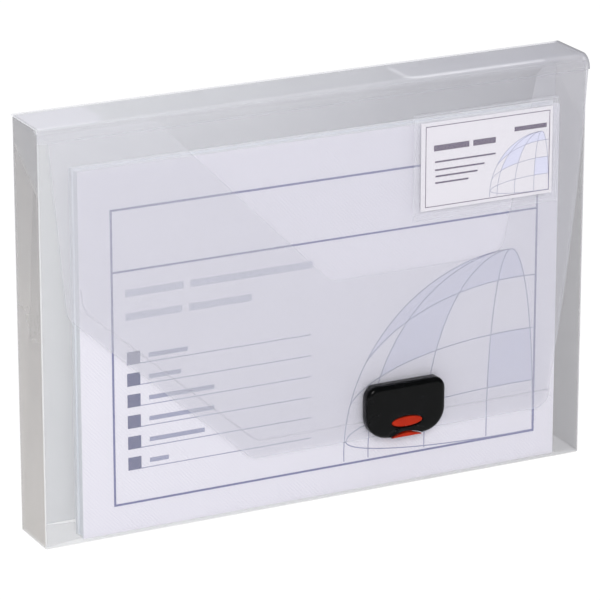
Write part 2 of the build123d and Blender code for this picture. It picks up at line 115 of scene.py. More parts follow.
def frosted_polypropylene(
    name, edge_axis, covers, shades, edge_highlight, left_end_only=False, end_on=0.0, fold_line=0.0,
    front=None, rising=False,
):
    """Frosted sheet: each face covers a share of what lies behind it with a cool scattered grey.

    The sheet is painted denser and greyer from left to right, as painted shade for the studio's darker
    right side, so covers and shades hold the values at both ends. On a rising piece they go from the foot,
    painted lighter for the light the floor throws up, to the head, and front holds those of the lid's
    forward face. Its cut edges are the faces that turn away from edge_axis, or for the lid its left end
    alone, and edge_highlight is how much denser they are: they are painted denser and whiter, a painted
    highlight. fold_line is how much denser the upright folds of the case are, and end_on the last 3 mm at
    the right, where a rounded corner turns the sheet end-on: denser there, and painted greyer as shade.
    """
    material, tree = empty_material(name)
    place = add_node(tree, "TexCoord")
    along = add_node(tree, "SeparateXYZ", {0: place.outputs["Object"]})
    facing = add_node(tree, "SeparateXYZ", {0: place.outputs["Normal"]})
    # Shaders read places in metres: the case's end and head, the lid's end, and where its front drops
    case_end, case_head, lid_end, lid_drop = 0.1685, 0.2385, 0.169, 0.2368
    if left_end_only:
        leftward = add_node(tree, "Math", {0: facing.outputs["X"], 1: -0.5}, operation="LESS_THAN")
        above_drop = add_node(tree, "Math", {0: along.outputs["Z"], 1: lid_drop}, operation="GREATER_THAN")
        edge = add_node(
            tree, "Math", {0: leftward.outputs[0], 1: above_drop.outputs[0]}, operation="MULTIPLY"
        )
    else:
        turned = add_node(tree, "Math", {0: facing.outputs[edge_axis]}, operation="ABSOLUTE")
        edge = add_node(tree, "Math", {0: turned.outputs[0], 1: 0.5}, operation="LESS_THAN")

    # Slow streaks of the extruded sheet, some 25 mm long, lie over the painted shade that drifts from one
    # end to the other. The power holds the drift back near its start
    streak = add_node(tree, "TexNoise", {"Vector": place.outputs["Object"], "Scale": 40.0, "Detail": 2.0})
    way, start, stop = ("Z", 0.0, case_head) if rising else ("X", -case_end, case_end)
    drift = add_node(
        tree, "MapRange",
        {"Value": along.outputs[way], "From Min": start, "From Max": stop, "To Min": -0.13, "To Max": 0.87},
    )
    even = add_node(
        tree, "Math", {0: streak.outputs["Fac"], 1: 0.26, 2: drift.outputs[0]},
        operation="MULTIPLY_ADD", use_clamp=True,
    )
    share = add_node(tree, "Math", {0: even.outputs[0], 1: 1.35}, operation="POWER")
    grey = add_node(
        tree, "Mix", {0: share.outputs[0], 6: linear(shades[0]), 7: linear(shades[1])}, data_type="RGBA"
    )
    cover = add_node(
        tree, "MapRange", {"Value": share.outputs[0], "To Min": covers[0], "To Max": covers[1]}
    )
    tone, sheer = grey.outputs["Result"], cover.outputs[0]
    if front:
        upward = add_node(tree, "Math", {0: facing.outputs["Z"]}, operation="ABSOLUTE")
        level = add_node(tree, "MapRange", {"Value": upward.outputs[0], "From Min": 0.30, "From Max": 0.95})
        front_grey = add_node(
            tree, "Mix", {0: share.outputs[0], 6: linear(front[1][0]), 7: linear(front[1][1])},
            data_type="RGBA",
        )
        front_cover = add_node(
            tree, "MapRange", {"Value": share.outputs[0], "To Min": front[0][0], "To Max": front[0][1]}
        )
        tone = add_node(
            tree, "Mix", {0: level.outputs[0], 6: front_grey.outputs["Result"], 7: tone}, data_type="RGBA"
        ).outputs["Result"]
        sheer = add_node(
            tree, "Mix", {0: level.outputs[0], 2: front_cover.outputs[0], 3: sheer}, data_type="FLOAT"
        ).outputs["Result"]
    # The corner seen end-on is denser, and its grey #A6A6AC is painted shade
    if end_on:
        corner_start = 0.1658
        turned_end = add_node(
            tree, "MapRange", {"Value": along.outputs["X"], "From Min": corner_start, "From Max": lid_end}
        )
        sheer = add_node(
            tree, "Math", {0: turned_end.outputs[0], 1: end_on, 2: sheer}, operation="MULTIPLY_ADD"
        ).outputs[0]
        tone = add_node(
            tree, "Mix", {0: turned_end.outputs[0], 6: tone, 7: linear("#A6A6AC")}, data_type="RGBA"
        ).outputs["Result"]
    haze = add_node(tree, "Math", {0: edge.outputs[0], 1: edge_highlight, 2: sheer}, operation="MULTIPLY_ADD")
    # The cut edges' white is a painted highlight: an edge that is hardly denser is hardly whiter either
    edge_white = min(1.0, 3.0 * edge_highlight)
    white = add_node(tree, "Math", {0: edge.outputs[0], 1: edge_white}, operation="MULTIPLY")
    if fold_line:
        # The whitened line of each fold reaches some 0.7 mm to either side of the corner
        fold_x, fold_y = (0.1675, 0.1680), (0.0161, 0.0166)
        side = add_node(tree, "Math", {0: along.outputs["X"]}, operation="ABSOLUTE")
        depth = add_node(tree, "Math", {0: along.outputs["Y"]}, operation="ABSOLUTE")
        near_side = add_node(
            tree, "MapRange", {"Value": side.outputs[0], "From Min": fold_x[0], "From Max": fold_x[1]}
        )
        near_face = add_node(
            tree, "MapRange", {"Value": depth.outputs[0], "From Min": fold_y[0], "From Max": fold_y[1]}
        )
        fold = add_node(
            tree, "Math", {0: near_side.outputs[0], 1: near_face.outputs[0]}, operation="MULTIPLY"
        )
        white = add_node(tree, "Math", {0: white.outputs[0], 1: fold.outputs[0]}, operation="MAXIMUM")
        haze = add_node(
            tree, "Math", {0: fold.outputs[0], 1: fold_line, 2: haze.outputs[0]}, operation="MULTIPLY_ADD"
        )
    # Folds whiten for real, while the cut edges' white mixed in here is a painted highlight
    colour = add_node(
        tree, "Mix", {0: white.outputs[0], 6: tone, 7: linear("#F3F4F8")}, data_type="RGBA"
    )
    matt_face(tree, place, streak, colour.outputs["Result"], haze.outputs[0])
    return material


def dress(material, *names):
    """A carried-over node takes its finish."""
    for name in names:
        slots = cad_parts[name].data.materials
        slots.clear()
        slots.append(material)


# The front lies on the papers, and a matt sheet that touches what is behind it looks clearer there. The
# panels of the one sheet get their own tones, which are painted light and shade: the back and the right
# end darker, the left glue tab paler, and the left end paler at its foot
front_sheet = frosted_polypropylene(
    "frosted polypropylene, front", "Y", (0.12, 0.16), ("#D8D9DE", "#D8D8DE"), 0.12, fold_line=0.35
)
back_sheet = frosted_polypropylene(
    "frosted polypropylene, back", "Y", (0.40, 0.58), ("#B8BBBF", "#7C7C83"), 0.10, fold_line=0.35
)
left_end_sheet = frosted_polypropylene(
    "frosted polypropylene, left end", "X", (0.38, 0.38), ("#D0CCC8", "#99979A"), 0.10, fold_line=0.35,
    rising=True,
)
right_end_sheet = frosted_polypropylene(
    "frosted polypropylene, right end", "X", (0.54, 0.54), ("#8C8A8A", "#8C8A8A"), 0.10, fold_line=0.35
)
tab_sheet = frosted_polypropylene(
    "frosted polypropylene, tabs", "X", (0.60, 0.20), ("#FAF8F6", "#A3A1A0"), 0.04
)
foot_sheet = frosted_polypropylene(
    "frosted polypropylene, foot", "Z", (0.22, 0.34), ("#CBCCCE", "#AFAFB0"), 0.04
)
dress(front_sheet, "front_panel")
dress(back_sheet, "back_panel")
dress(left_end_sheet, "left_end_panel")
dress(right_end_sheet, "right_end_panel")
dress(tab_sheet, "left_glue_tab", "right_glue_tab")
dress(foot_sheet, "bottom_panel", "left_bottom_tab", "right_bottom_tab")

# ## The dust flaps
# Two tongues of the same sheet, creased onto the end walls, which lie under the lid and keep dust out. A
# painted highlight runs round the long one's cut edge as a near-white strip, and it shows through the lid
# as a pale line.

lid_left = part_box("lid_top_panel")[0].x * 1000


def sweep(paths, profile, face_y, closed=False):
    """Corners and faces of strips that lie on an upright face, mitred where they turn.

    Each path is a list of (x, z), and the profile gives (across, rise) pairs.
    """
    corners, faces = [], []
    for path in paths:
        first, count = len(corners), len(path)
        for i, (x, z) in enumerate(path):
            before = path[i - 1] if i or closed else (2 * x - path[1][0], 2 * z - path[1][1])
            if i < count - 1 or closed:
                after = path[(i + 1) % count]
            else:
                after = (2 * x - path[i - 1][0], 2 * z - path[i - 1][1])
            one = Vector((x - before[0], z - before[1])).normalized()
            two = Vector((after[0] - x, after[1] - z)).normalized()
            out = Vector((-one.y - two.y, one.x + two.x)) / (1 + one.dot(two))
            for across, rise in profile:
                corners.append((lid_left + x + out.x * across, face_y - rise, z + out.y * across))
        size = len(profile)
        for i in range(count if closed else count - 1):
            here, there = first + i * size, first + (i + 1) % count * size
            for k in range(size):
                following = (k + 1) % size
                faces.append((here + k, here + following, there + following, there + k))
        if not closed:
            faces.append(tuple(first + k for k in range(size)))
            faces.append(tuple(first + (count - 1) * size + k for k in range(size)))
    return corners, faces


def make_piece(name, corners, faces, material, body, slot, smooth=False):
    """A piece from corners in millimetres, with its finish, riding on its body."""
    mesh = bpy.data.meshes.new(name)
    mesh.from_pydata([(x / 1000, y / 1000, z / 1000) for x, y, z in corners], [], faces)
    shape = bmesh.new()
    shape.from_mesh(mesh)
    bmesh.ops.recalc_face_normals(shape, faces=shape.faces)
    shape.to_mesh(mesh)
    shape.free()
    mesh.polygons.foreach_set("use_smooth", [smooth] * len(mesh.polygons))
    mesh.materials.append(material)
    piece = bpy.data.objects.new(name, mesh)
    bpy.context.scene.collection.objects.link(piece)
    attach(piece, body)
    return piece


def flat_strip(width, rise):
    """The profile of a flat strip."""
    return [(-width / 2, 0), (-width / 2, rise), (width / 2, rise), (width / 2, 0)]


def laid_flat(corners, faces):
    """A strip that was swept on an upright face, laid on a level one."""
    return [(x, z, -y) for x, y, z in corners], faces


def highlight_strip_material(name):
    """A painted highlight: near-opaque white that hides nearly all that is behind it, for the light the
    sheet guides to its cut edge.
    """
    material, tree = empty_material(name)
    place = add_node(tree, "TexCoord")
    streak = add_node(tree, "TexNoise", {"Vector": place.outputs["Object"], "Scale": 40.0, "Detail": 2.0})
    matt_face(tree, place, streak, linear("#FFFFFF"), 0.95)
    return material


# The two dust flaps' tones are painted light and shade: the left one paler and denser, the right one darker
# and clearer
left_dust_sheet = frosted_polypropylene(
    "frosted polypropylene, left dust flap", "Z", (0.58, 0.58), ("#FCFBFF", "#FCFBFF"), 0.06
)
right_dust_sheet = frosted_polypropylene(
    "frosted polypropylene, right dust flap", "Z", (0.14, 0.14), ("#DCDCE2", "#DCDCE2"), 0.04
)
dress(left_dust_sheet, "left_dust_flap")
dress(right_dust_sheet, "right_dust_flap")
highlight_strip_sheet = highlight_strip_material("painted highlight, dust flap edge")
dust_low, dust_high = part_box("right_dust_flap")
dust_tip, dust_front, dust_back = dust_low.x * 1000 - lid_left, dust_low.y * 1000, dust_high.y * 1000
# The painted highlight runs 1 mm inside the cut edge, from the back of the flap's tip round its corner of
# 8 mm and on along its front. Its profile is 2.3 mm wide and wraps the 0.8 mm edge by 0.06 mm
highlight_inset, corner_radius = 1.0, 8.0
turn_radius = corner_radius - highlight_inset
highlight_profile = [(-1.06, -0.86), (-1.06, 0.06), (1.2, 0.06), (1.2, -0.86)]
highlight_path = [(dust_tip + highlight_inset, dust_back - 4.2), (dust_tip + highlight_inset, dust_front + corner_radius)]
for turn in range(10, 91, 10):
    angle = math.radians(turn)
    highlight_path.append(
        (
            dust_tip + corner_radius - turn_radius * math.cos(angle),
            dust_front + corner_radius - turn_radius * math.sin(angle),
        )
    )
highlight_path.append((dust_tip + 86.5, dust_front + highlight_inset))
make_piece(
    "dust_flap_highlight_strip", *laid_flat(*sweep([highlight_path], highlight_profile, -dust_high.z * 1000)),
    highlight_strip_sheet, "right_dust", "clear_sheet",
)

# ## The papers
# A stack of white office paper with a printed cover in front, standing on its long edge. Cut edges of
# stacked paper scatter light, so the top and the sides look soft and a little blue.


def office_paper(name, colour, shadow, hatch):
    """Uncoated paper: dull, with fibre clouds of 1 mm, and a slanting dot screen where it is printed."""
    material, tree = empty_material(name)
    place = add_node(tree, "TexCoord")
    fibre = add_node(tree, "TexNoise", {"Vector": place.outputs["Object"], "Scale": 900.0, "Detail": 3.0})
    # A dot screen is about 0.2 mm fine: it is drawn as slanting lines 1.6 mm apart, so that it shows
    slope = (0, math.radians(42), 0)
    slant = add_node(tree, "Mapping", {"Vector": place.outputs["Object"], "Rotation": slope})
    screen = add_node(
        tree, "TexWave", {"Vector": slant.outputs[0], "Scale": 195.0, "Distortion": 0.4, "Detail": 0.0},
        bands_direction="X",
    )
    lines = add_node(
        tree, "MapRange",
        {"Value": screen.outputs["Fac"], "From Min": 0.35, "From Max": 0.75, "To Max": hatch},
    )
    tone = add_node(
        tree, "MapRange", {"Value": fibre.outputs["Fac"], "From Min": 0.3, "From Max": 0.7, "To Max": 0.25}
    )
    both = add_node(
        tree, "Math", {0: lines.outputs[0], 1: tone.outputs[0]}, operation="ADD", use_clamp=True
    )
    mixed = add_node(
        tree, "Mix", {0: both.outputs[0], 6: linear(colour), 7: linear(shadow)}, data_type="RGBA"
    )
    bump = add_node(tree, "Bump", {"Height": fibre.outputs["Fac"], "Strength": 0.3, "Distance": 0.00004})
    surface = add_node(
        tree, "BsdfPrincipled",
        {"Base Color": mixed.outputs["Result"], "Roughness": 0.85, "IOR": 1.45, "Normal": bump.outputs[0]},
    )
    add_node(tree, "OutputMaterial", {"Surface": surface.outputs[0]})
    return material


def stacked_paper(name):
    """The cut edges of many sheets, bluer at the sides than on top: the paler top is painted light, for
    where the light falls.

    Sheets are 0.1 mm thick, and their lines are drawn at 0.7 mm so that they show.
    """
    material, tree = empty_material(name)
    place = add_node(tree, "TexCoord")
    stretch = add_node(tree, "Mapping", {"Vector": place.outputs["Object"], "Scale": (12.0, 1400.0, 12.0)})
    sheets = add_node(tree, "TexNoise", {"Vector": stretch.outputs[0], "Scale": 1.0, "Detail": 2.0})
    lines = add_node(tree, "MapRange", {"Value": sheets.outputs["Fac"], "From Min": 0.35, "From Max": 0.65})
    side = add_node(
        tree, "Mix", {0: lines.outputs[0], 6: linear("#DBE0E7"), 7: linear("#ECF0F5")}, data_type="RGBA"
    )
    top = add_node(
        tree, "Mix", {0: lines.outputs[0], 6: linear("#EDEFF3"), 7: linear("#FAFBFD")}, data_type="RGBA"
    )
    facing = add_node(tree, "SeparateXYZ", {0: place.outputs["Normal"]})
    upward = add_node(tree, "MapRange", {"Value": facing.outputs["Z"], "From Min": 0.3, "From Max": 0.7})
    mixed = add_node(
        tree, "Mix", {0: upward.outputs[0], 6: side.outputs["Result"], 7: top.outputs["Result"]},
        data_type="RGBA",
    )
    bump = add_node(tree, "Bump", {"Height": sheets.outputs["Fac"], "Strength": 0.5, "Distance": 0.00015})
    surface = add_node(
        tree, "BsdfPrincipled",
        {"Base Color": mixed.outputs["Result"], "Roughness": 0.9, "IOR": 1.45, "Normal": bump.outputs[0]},
    )
    add_node(tree, "OutputMaterial", {"Surface": surface.outputs[0]})
    return material


dress(stacked_paper("stacked office paper"), "document_stack")
dress(office_paper("office paper, printed", "#EAE8EF", "#D8D6E3", 0.55), "cover_sheet")

# ## The cover's print
# Laser toner on the front sheet: a ruled frame, plain bars, a list of six entries and a quarter of a
# gridded globe. Toner is fused on, so it stands a little on the paper and has a faint mottle.


def toner(name, colour, pale):
    """Fused toner: a little smoother than the paper, with a mottle of 1 mm clouds."""
    material, tree = empty_material(name)
    place = add_node(tree, "TexCoord")
    cloud = add_node(tree, "TexNoise", {"Vector": place.outputs["Object"], "Scale": 1000.0, "Detail": 2.0})
    mixed = add_node(
        tree, "Mix", {0: cloud.outputs["Fac"], 6: linear(colour), 7: linear(pale)}, data_type="RGBA"
    )
    surface = add_node(
        tree, "BsdfPrincipled", {"Base Color": mixed.outputs["Result"], "Roughness": 0.6, "IOR": 1.5}
    )
    add_node(tree, "OutputMaterial", {"Surface": surface.outputs[0]})
    return material


def bars(spans, height, face_y):
    """Level bars, each from x to x with its middle at z."""
    return sweep([[(a, z), (b, z)] for a, b, z in spans], flat_strip(height, 0.03), face_y)


def plate(outline, rise, face_y):
    """A thin field of any outline on an upright face."""
    count = len(outline)
    corners = [(lid_left + x, face_y - y, z) for y in (0, rise) for x, z in outline]
    faces = [tuple(range(count)), tuple(range(count, 2 * count))]
    faces += [(i, (i + 1) % count, count + (i + 1) % count, count + i) for i in range(count)]
    return corners, faces


def joined(*parts):
    """Several lists of corners and faces as one."""
    corners, faces = [], []
    for more_corners, more_faces in parts:
        faces += [tuple(len(corners) + i for i in face) for face in more_faces]
        corners += more_corners
    return corners, faces


def print_on_cover(name, shape, ink):
    """A piece of print that lies on the cover sheet."""
    make_piece(name, *shape, ink, "case", "printed_paper")


paper_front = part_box("cover_sheet")[0].y * 1000
dark_toner = toner("laser toner, dark blue", "#4A4C88", "#585A96")
square_toner = toner("laser toner, blue", "#3F4171", "#4B4E7D")
grey_toner = toner("laser toner, grey blue", "#8588A6", "#9396B2")
line_toner = toner("laser toner, fine blue", "#6D709B", "#7A7DA6")
pale_toner = toner("laser toner, pale grey", "#B4B5C6", "#BEBFCF")
tint_toner = toner("laser toner, pale tint", "#CBCCE2", "#D3D4E8")

frame_left, frame_right, frame_foot, frame_head = 43.2, 307.5, 17.8, 187.5
frame_corners = [
    (frame_left, frame_foot), (frame_right, frame_foot), (frame_right, frame_head), (frame_left, frame_head)
]
print_on_cover(
    "print_frame", sweep([frame_corners], flat_strip(1.3, 0.03), paper_front, closed=True), dark_toner
)
head_rule = [(frame_left + 0.5, frame_right - 0.5, 152.3)]
print_on_cover("print_rule", bars(head_rule, 1.2, paper_front), dark_toner)
heading_bars = [(51, 86, 139.5), (90, 165, 139.5), (51, 85, 126.0), (89, 127.4, 126.0)]
print_on_cover("print_headings", bars(heading_bars, 4.2, paper_front), pale_toner)

# Each entry of the list is a square, a plain bar, and a rule below them
entry_heights = [102.0, 89.6, 77.3, 65.1, 52.9, 40.7]
square_left, square_right, label_left, rule_right = 51.5, 59.4, 64.5, 164
label_ends = [88, 84, 104, 104, 98, 76]
squares = [(square_left, square_right, z) for z in entry_heights]
entry_rules = [(square_right, rule_right, z - 3.5) for z in entry_heights]
labels = [(label_left, end, z + 0.4) for end, z in zip(label_ends, entry_heights)]
print_on_cover("print_squares", bars(squares, 7.5, paper_front), square_toner)
print_on_cover("print_entry_rules", bars(entry_rules, 0.6, paper_front), grey_toner)
print_on_cover("print_labels", bars(labels, 2.6, paper_front), grey_toner)

# The globe is a plain grid. Uprights are given by their share of its radius, and level rings by the
# height of their ends and their rise in the middle. Three fields between them are tinted, each given by
# two uprights and two rings, or None for the globe's crown.
globe_x, globe_z, globe_radius = 291.0, 24.0, 106.4
uprights = (-1.0, -0.855, -0.517, -0.136, 0.15)
ring_x, ring_radius = 295.0, 109.0
level_rings = ((31.0, -12.6), (31.0, 18.0), (45.0, 36.0), (45.0, 68.0))
tinted_fields = ((-0.855, -0.517, 2, 3), (-1.0, 0.15, 3, None), (-0.136, 0.15, 1, 2))


def upright_at(share, z):
    """The point of an upright at a height."""
    sag = 1 - ((z - globe_z) / globe_radius) ** 2
    return globe_x + globe_radius * share * math.sqrt(max(0.0, sag)), z


def ring_height(level, x):
    """How high a ring, or the globe's crown, runs at x."""
    if level is None:
        return globe_z + globe_radius
    ends, rise = level_rings[level]
    return ends + rise * math.sqrt(max(0.0, 1 - ((x - ring_x) / ring_radius) ** 2))


def crossing(share, level):
    """Where an upright meets a ring: it settles there from any height."""
    z = 60.0
    for _ in range(40):
        z = ring_height(level, upright_at(share, z)[0])
    return upright_at(share, z)


frame_inner_right, frame_inner_foot = frame_right - 0.4, frame_foot + 0.4


def kept(path):
    """The stretch of a line that lies inside the printed frame."""
    return [(x, z) for x, z in path if x <= frame_inner_right + 0.01 and z >= frame_inner_foot]


def globe_lines():
    """The globe's uprights from foot to head, and its rings from the outermost upright to the frame."""
    heights = [globe_z + globe_radius * math.sin(math.radians(i * 1.5 - 4)) for i in range(63)]
    lines = [kept([upright_at(share, z) for z in heights]) for share in uprights]
    for level in range(len(level_rings)):
        start = crossing(-1.0, level)[0]
        across = [start + (frame_inner_right - start) * (i / 48) ** 1.6 for i in range(49)]
        lines.append(kept([(x, ring_height(level, x)) for x in across]))
    return lines


def globe_field(left, right, low, high, steps=14):
    """The outline of the field between two uprights and two rings."""
    foot_left, foot_right = crossing(left, low), crossing(right, low)
    head_left, head_right = crossing(left, high), crossing(right, high)
    shares = [left + (right - left) * i / steps for i in range(1, steps)]
    lifts = [i / steps for i in range(1, steps)]
    outline = [foot_left, *(crossing(s, low) for s in shares), foot_right]
    outline += [upright_at(right, foot_right[1] + (head_right[1] - foot_right[1]) * t) for t in lifts]
    if high is not None:
        outline += [head_right, *(crossing(s, high) for s in reversed(shares))]
    outline += [head_left]
    outline += [upright_at(left, head_left[1] + (foot_left[1] - head_left[1]) * t) for t in lifts]
    return [(min(x, frame_right - 0.5), z) for x, z in outline]


fields = [plate(globe_field(*bounds), 0.02, paper_front) for bounds in tinted_fields]
print_on_cover("print_globe_fields", joined(*fields), tint_toner)
print_on_cover("print_globe_lines", sweep(globe_lines(), flat_strip(0.6, 0.04), paper_front), line_toner)

# ## The keeper
# A hook moulded in black ABS that the latch snaps under, held through the front panel by two rivets and a
# small plate inside.


def moulded_plastic(name, colour, worn, roughness):
    """Moulded ABS: the spark-eroded grain of its mould gives it a soft satin gleam.

    The grain is 0.2 mm, drawn at 0.5 mm so that it shows. The gleam was matched to the object, and is
    weaker than the IOR alone gives.
    """
    material, tree = empty_material(name)
    place = add_node(tree, "TexCoord")
    grain = add_node(tree, "TexNoise", {"Vector": place.outputs["Object"], "Scale": 2000.0, "Detail": 2.0})
    cloud = add_node(tree, "TexNoise", {"Vector": place.outputs["Object"], "Scale": 160.0, "Detail": 3.0})
    tone = add_node(tree, "MapRange", {"Value": cloud.outputs["Fac"], "From Min": 0.35, "From Max": 0.65})
    mixed = add_node(
        tree, "Mix", {0: tone.outputs[0], 6: linear(colour), 7: linear(worn)}, data_type="RGBA"
    )
    gloss = add_node(
        tree, "MapRange",
        {"Value": cloud.outputs["Fac"], "To Min": roughness - 0.05, "To Max": roughness + 0.08},
    )
    bump = add_node(tree, "Bump", {"Height": grain.outputs["Fac"], "Strength": 0.35, "Distance": 0.00004})
    surface = add_node(
        tree, "BsdfPrincipled",
        {
            "Base Color": mixed.outputs["Result"],
            "Roughness": gloss.outputs[0],
            "IOR": 1.53,
            "Specular IOR Level": 0.10,
            "Normal": bump.outputs[0],
        },
    )
    add_node(tree, "OutputMaterial", {"Surface": surface.outputs[0]})
    return material


black_abs = moulded_plastic("moulded ABS, black", "#060707", "#0A0B0C", 0.15)
dress(black_abs, "lock_keeper", "keeper_backplate", "keeper_rivets")

# ## The lid
# The top of the same creased sheet. Its front crease is crisp at the left and grows soft towards the
# right. The back crease is the hinge it opens on.

# The lid's forward face goes on as the flap, so it has the flap's tones. Its top is painted paler, as
# painted light for the light and sheen that fall on it, and its left end is painted white as a highlight
flap_covers, flap_shades = (0.24, 0.20), ("#CDCDD5", "#CDCDD6")
lid_sheet = frosted_polypropylene(
    "frosted polypropylene, lid", "Z", (0.28, 0.40), ("#F8F9FF", "#E2E2EB"), 0.45,
    left_end_only=True, end_on=0.65, front=(flap_covers, flap_shades),
)
dress(lid_sheet, "lid_top_panel")

# ## The flap
# The long front of the lid, cut back by a diagonal at its left. A border line is pressed into it along its
# left side and its foot, which stiffens it.

flap_sheet = frosted_polypropylene(
    "frosted polypropylene, flap", "Y", flap_covers, flap_shades, 0.12, end_on=0.60
)
dress(flap_sheet, "lid_flap")


def rounded_path(points, radii, steps=8):
    """An open line whose inner corners are rounded."""
    path = [points[0]]
    for before, corner, after, radius in zip(points, points[1:], points[2:], radii):
        corner = Vector(corner)
        back = (Vector(before) - corner).normalized()
        on = (Vector(after) - corner).normalized()
        half = math.acos(max(-1.0, min(1.0, back.dot(on)))) / 2
        reach = radius / math.tan(half)
        middle = corner + (back + on).normalized() * (radius / math.sin(half))
        start, end = corner + back * reach - middle, corner + on * reach - middle
        for i in range(steps + 1):
            spoke = start.lerp(end, i / steps).normalized() * radius
            path.append(tuple(middle + spoke))
    path.append(points[-1])
    return path


def bead(width, rise):
    """The profile of a low rounded rib."""
    side = (width * 0.35, rise * 0.7)
    return [(-width / 2, 0), (-side[0], side[1]), (0, rise), side, (width / 2, 0)]


flap_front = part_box("lid_flap")[0].y * 1000
# The line starts at the upper left, follows the diagonal and runs along the foot
border = rounded_path([(23.4, 147.0), (24.4, 135.0), (128.0, 42.8), (316.0, 42.8)], [14.0, 12.0])
pressed_line = frosted_polypropylene(
    "frosted polypropylene, pressed line", "Y", (0.06, 0.10), ("#D2D2D6", "#BDBDC2"), 0.0
)
make_piece(
    "flap_border", *sweep([border], bead(1.2, 0.04), flap_front), pressed_line, "flap", "clear_sheet",
    smooth=True,
)

# ## The card pocket
# A patch of clear cast film, welded to the flap along three sides and open at its left. Film is smooth,
# so it shows sharper reflections than the sheet. The weld is a pair of pressed lines.


def clear_film(name, cover):
    """Clear film: nearly all light passes, and its edges and weld lines catch some, painted on the edges as
    a denser pale haze.
    """
    material, tree = empty_material(name)
    place = add_node(tree, "TexCoord")
    facing = add_node(tree, "SeparateXYZ", {0: place.outputs["Normal"]})
    turned = add_node(tree, "Math", {0: facing.outputs["Y"]}, operation="ABSOLUTE")
    edge = add_node(tree, "Math", {0: turned.outputs[0], 1: 0.5}, operation="LESS_THAN")
    ripple = add_node(tree, "TexNoise", {"Vector": place.outputs["Object"], "Scale": 90.0, "Detail": 2.0})
    tint = add_node(
        tree, "Mix", {0: ripple.outputs["Fac"], 6: linear("#E6E7EE"), 7: linear("#F2F3F8")},
        data_type="RGBA",
    )
    haze = add_node(tree, "Math", {0: edge.outputs[0], 1: 0.30, 2: cover}, operation="MULTIPLY_ADD")
    # Clear film hardly dims what it lies on
    path = add_node(tree, "LightPath")
    shade = add_node(
        tree, "Math", {0: path.outputs["Is Shadow Ray"], 1: -0.8, 2: 1.0}, operation="MULTIPLY_ADD"
    )
    alpha = add_node(tree, "Math", {0: haze.outputs[0], 1: shade.outputs[0]}, operation="MULTIPLY")
    # The film lies in soft waves, about 11 mm long
    bump = add_node(tree, "Bump", {"Height": ripple.outputs["Fac"], "Strength": 0.4, "Distance": 0.0002})
    surface = add_node(
        tree, "BsdfPrincipled",
        {
            "Base Color": tint.outputs["Result"],
            "Roughness": 0.12,
            "IOR": 1.49,
            "Alpha": alpha.outputs[0],
            "Normal": bump.outputs[0],
        },
    )
    add_node(tree, "OutputMaterial", {"Surface": surface.outputs[0]})
    return material


def front_of(low, high):
    """Where a box's left and right ends, its foot, its head and its front face lie."""
    ends = low.x * 1000 - lid_left, high.x * 1000 - lid_left
    return *ends, low.z * 1000, high.z * 1000, low.y * 1000


dress(clear_film("clear polypropylene film", 0.08), "card_pocket")
pocket_left, pocket_right, pocket_foot, pocket_head, pocket_front = front_of(*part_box("card_pocket"))
weld_lines = []
# The two lines lie 0.6 and 1.9 mm inside the film's edge
for inset in (0.6, 1.9):
    left, right = pocket_left + 0.4, pocket_right - inset
    top, foot = pocket_head - inset, pocket_foot + inset
    weld_lines.append(rounded_path([(left, top), (right, top), (right, foot), (left, foot)], [1.2, 1.2]))
# The open end's edge is pressed once, to stiffen it
mouth = pocket_left + 1.4
weld_lines.append([(mouth, pocket_foot + 3.0), (mouth, pocket_head - 3.0)])
make_piece(
    "pocket_weld", *sweep(weld_lines, bead(0.5, 0.08), pocket_front),
    clear_film("clear polypropylene film, welded", 0.18), "flap", "pocket_film", smooth=True,
)

# ## The name card
# A white card, cut from smooth board and printed with a thin border, plain bars and the same gridded globe
# as the cover, drawn small. It lies loose in the pocket.

dress(office_paper("business card board", "#DBD8DE", "#D1CED7", 0.0), "name_card")
card_left, card_right, card_foot, card_head, card_front = front_of(*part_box("name_card"))
card_toner = toner("laser toner, plum", "#4B3A58", "#584665")
border_left, border_right = card_left + 3.0, card_right - 1.9
border_foot, border_head = card_foot + 2.1, card_head - 2.4
card_border = [
    (border_left, border_foot), (border_right, border_foot), (border_right, border_head),
    (border_left, border_head),
]


def print_on_card(name, shape, ink):
    """A piece of print that lies on the name card."""
    make_piece(name, *shape, ink, "card", "card")


print_on_card(
    "card_border", sweep([card_border], flat_strip(0.45, 0.03), card_front, closed=True), card_toner
)


def card_bars(spans, height):
    """Level bars on the card, counted from its lower left corner."""
    return bars([(card_left + a, card_left + b, card_foot + z) for a, b, z in spans], height, card_front)


line_spans = [(8.8, 47.4, 27.8), (8.8, 40.4, 23.1), (9.2, 36.0, 19.4), (9.0, 30.2, 15.6)]
heading_spans = [(8.0, 30.5, 35.8), (33.0, 47.4, 35.8)]
print_on_card("card_lines", card_bars(line_spans, 1.0), card_toner)
print_on_card("card_heading", card_bars(heading_spans, 3.4), card_toner)
print_on_card("card_upper_bar", card_bars([(59.4, 80.2, 40.3)], 2.6), card_toner)

small_radius = 33.0
small_scale = small_radius / globe_radius


def on_card(path):
    """A line of the globe, moved from the cover's lower right corner to the card's and made small."""
    return [
        (border_right - (frame_right - x) * small_scale, border_foot + (z - frame_foot) * small_scale)
        for x, z in path
    ]


small_fields = [plate(on_card(globe_field(*bounds)), 0.02, card_front) for bounds in tinted_fields]
print_on_card("card_globe_fields", joined(*small_fields), tint_toner)
small_lines = [on_card(line) for line in globe_lines()]
print_on_card("card_globe_lines", sweep(small_lines, flat_strip(0.3, 0.04), card_front), grey_toner)

# ## The lock
# A cover moulded in black ABS with a rounded rim, riveted through the flap to a plate behind it. Its window
# and the notch at its foot show a red rocker, which turns on a steel pin against a small wound spring.

